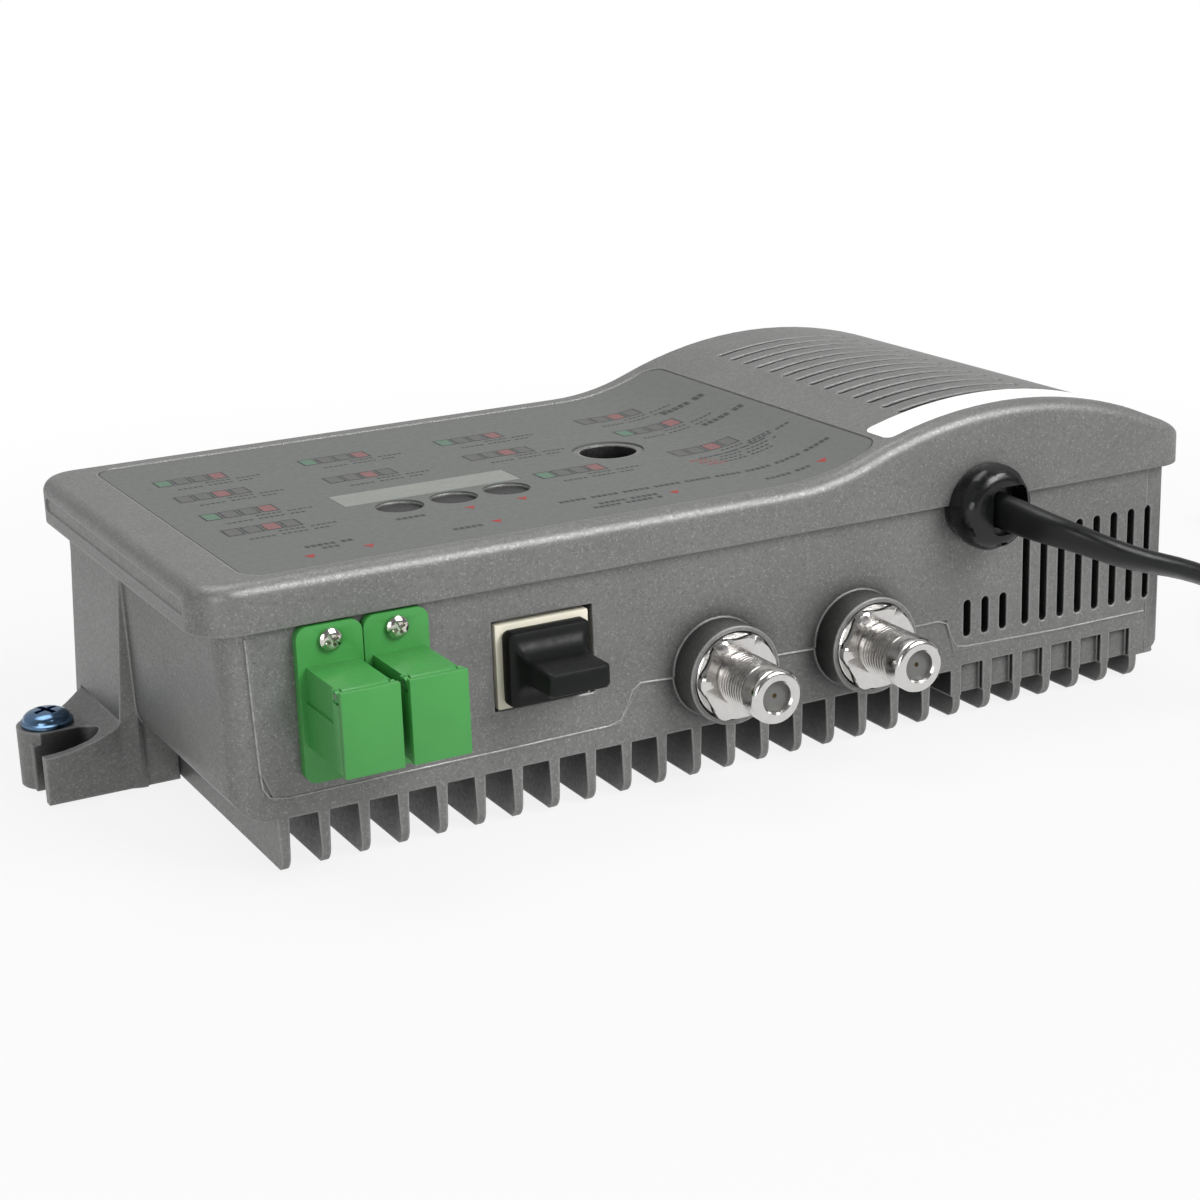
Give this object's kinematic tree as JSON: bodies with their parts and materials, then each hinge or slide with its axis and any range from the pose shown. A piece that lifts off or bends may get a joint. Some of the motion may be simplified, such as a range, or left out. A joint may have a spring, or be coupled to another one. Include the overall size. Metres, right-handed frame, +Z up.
{
  "type": "cable tv optical receiver",
  "caption": "Finned cast housing with a humped, slotted lid, shuttered optical sockets, network and coaxial ports, buttons, a display window, mounting feet and a mains cord.",
  "frame": {"origin": "on the plane the fins stand on, at the middle of the object's footprint without its cord", "axes": "+X along the front face from the optical ports to the mains cord, +Y from the front face to the back, +Z up"},
  "size_m": [0.3145, 0.1398, 0.0581],
  "materials": {
    "cast_aluminium": "shot-blasted die casting",
    "film": "printed film, fine satin",
    "label": "bare white sticker",
    "window": "clear pane over a grey face",
    "black_plastic": "satin moulding",
    "board": "board with solder resist",
    "brass": "turned",
    "gold_pins": "gold plated",
    "steel": "plain",
    "bright_steel": "bright plated",
    "blue_zinc": "blue zinc plated",
    "green_plastic": "satin gloss moulding",
    "white_ceramic": null,
    "ivory_plastic": "moulding",
    "black_rubber": "semi-gloss moulding",
    "bushing_black": "moulded nylon",
    "nickel": "nickel plated",
    "insulator": "moulding",
    "fibre_yellow": "fibre jacket",
    "tin": "tinned",
    "dark_sleeve": "sleeve",
    "terminal_green": "moulding",
    "fuse_glass": "clear tube",
    "yellow_plastic": "case or tape",
    "ferrite": null,
    "plain_aluminium": "plain plate",
    "blue_sleeve": "wire sleeve"
  },
  "bodies": {
    "housing": {"adapter_screws": "bright_steel", "alignment_sleeves": "white_ceramic", "amplifier_chips": "black_plastic", "bare_label": "label", "base_casting": "cast_aluminium", "board_capacitors": "dark_sleeve", "board_screws": "steel", "coax_centre_pins": "gold_pins", "coax_connector_left": "nickel", "coax_connector_right": "nickel", "coax_insulators": "insulator", "coax_lock_nuts": "nickel", "control_board": "board", "control_pillars": "brass", "cord_bushing": "bushing_black", "cord_coil": "black_rubber", "display_module": "black_plastic", "display_window": "window", "fibre_coil": "fibre_yellow", "fibre_pigtails": "fibre_yellow", "filter_coils": "dark_sleeve", "fuse": "fuse_glass", "fuse_clips": "tin", "ground_screw": "blue_zinc", "header_pins": "gold_pins", "inner_fibre_plugs": "green_plastic", "jack_contacts": "gold_pins", "lid_casting": "cast_aluminium", "lid_screw": "steel", "line_choke": "black_plastic", "main_board": "board", "mains_plug": "black_rubber", "mains_terminal": "terminal_green", "mains_wires": "blue_sleeve", "network_jack": "ivory_plastic", "optical_adapter_left": "green_plastic", "optical_adapter_right": "green_plastic", "overlay_film": "film", "photodiode_module": "steel", "plug_pins": "nickel", "power_cord": "black_rubber", "safety_capacitor": "yellow_plastic", "shield_can": "tin", "shutter_pins": "steel", "supply_board": "board", "supply_capacitors": "dark_sleeve", "supply_heatsink": "plain_aluminium", "switch_transistor": "black_plastic", "tact_switches": "black_plastic", "transformer_base": "black_plastic", "transformer_core": "ferrite", "transformer_winding": "yellow_plastic", "wavelength_filter": "steel"},
    "button_1_body": {"button_1": "black_plastic"},
    "button_2_body": {"button_2": "black_plastic"},
    "button_3_body": {"button_3": "black_plastic"},
    "shutter_left_body": {"shutter_left": "green_plastic"},
    "shutter_right_body": {"shutter_right": "green_plastic"},
    "dust_plug_body": {"dust_plug": "black_rubber"}
  },
  "joints": [
    {"name": "button_1_press", "type": "slide", "parent": "housing", "child": "button_1_body", "axis": [0, 0, -1], "range_m": [0, 0.0005], "stiffness_N_per_m": 1600, "springref_m": -0.0005},
    {"name": "button_2_press", "type": "slide", "parent": "housing", "child": "button_2_body", "axis": [0, 0, -1], "range_m": [0, 0.0005], "stiffness_N_per_m": 1600, "springref_m": -0.0005},
    {"name": "button_3_press", "type": "slide", "parent": "housing", "child": "button_3_body", "axis": [0, 0, -1], "range_m": [0, 0.0005], "stiffness_N_per_m": 1600, "springref_m": -0.0005},
    {"name": "shutter_left_hinge", "type": "hinge", "parent": "housing", "child": "shutter_left_body", "pos_m": [-0.0758, -0.0499, 0.03385], "axis": [-1, 0, 0], "range_deg": [0, 95], "stiffness_Nm_per_rad": 0.0003, "springref_deg": -17.19},
    {"name": "shutter_right_hinge", "type": "hinge", "parent": "housing", "child": "shutter_right_body", "pos_m": [-0.0645, -0.0499, 0.03385], "axis": [-1, 0, 0], "range_deg": [0, 95], "stiffness_Nm_per_rad": 0.0003, "springref_deg": -17.19},
    {"name": "dust_plug_pull", "type": "slide", "parent": "housing", "child": "dust_plug_body", "axis": [0, -1, 0], "range_m": [0, 0.008]}
  ]
}
